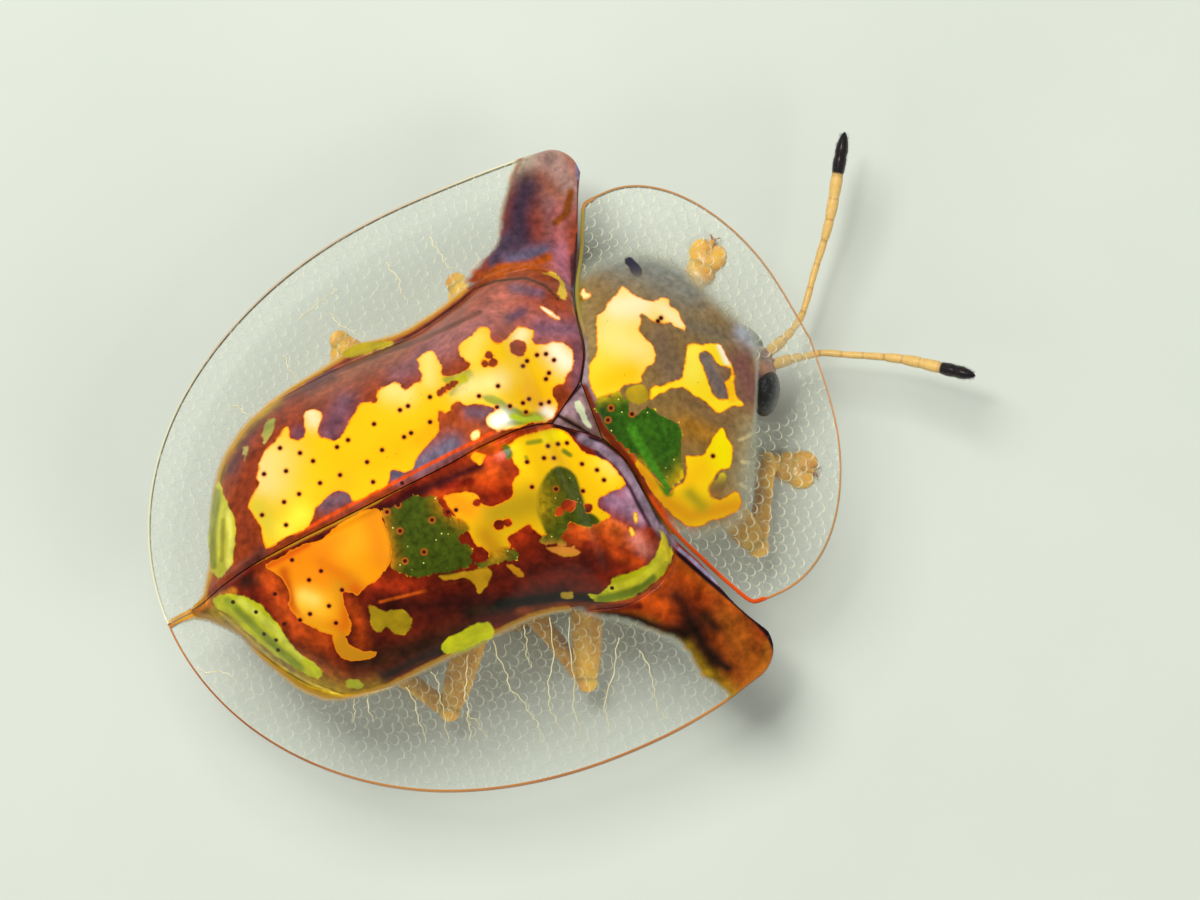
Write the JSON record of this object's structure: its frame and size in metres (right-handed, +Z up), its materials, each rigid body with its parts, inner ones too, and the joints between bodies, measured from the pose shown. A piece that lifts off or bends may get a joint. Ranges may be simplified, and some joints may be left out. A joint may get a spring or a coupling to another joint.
{
  "type": "tortoise beetle",
  "caption": "Tortoise beetle as a still, life-size model: clear brimmed wing cases and neck shield over the body, head, feelers and six legs",
  "frame": {"origin": "on the floor, below the middle of the bounding box of the whole beetle", "axes": "+Z up, head toward -Y, the beetle's left side toward +X"},
  "size_m": [0.0112, 0.0155, 0.005],
  "materials": {
    "wing_case": "glossy red-brown cuticle with gold patches and a clear brim",
    "neck_shield": "glossy clear cuticle with gold patches",
    "belly": "smooth amber-brown cuticle",
    "limb": "straw-yellow cuticle, dark at the tips of the feelers",
    "eye": "black, finely faceted"
  },
  "bodies": {
    "root": {"elytron_left": "wing_case", "elytron_right": "wing_case", "scutellum": "wing_case", "pronotum": "neck_shield", "head": "belly", "eye_left": "eye", "eye_right": "eye", "antenna_left": "limb", "antenna_right": "limb", "prothorax": "belly", "thorax": "belly", "abdomen": "belly", "leg_front_left": "limb", "leg_front_right": "limb", "leg_mid_left": "limb", "leg_mid_right": "limb", "leg_hind_left": "limb", "leg_hind_right": "limb"}
  },
  "joints": []
}
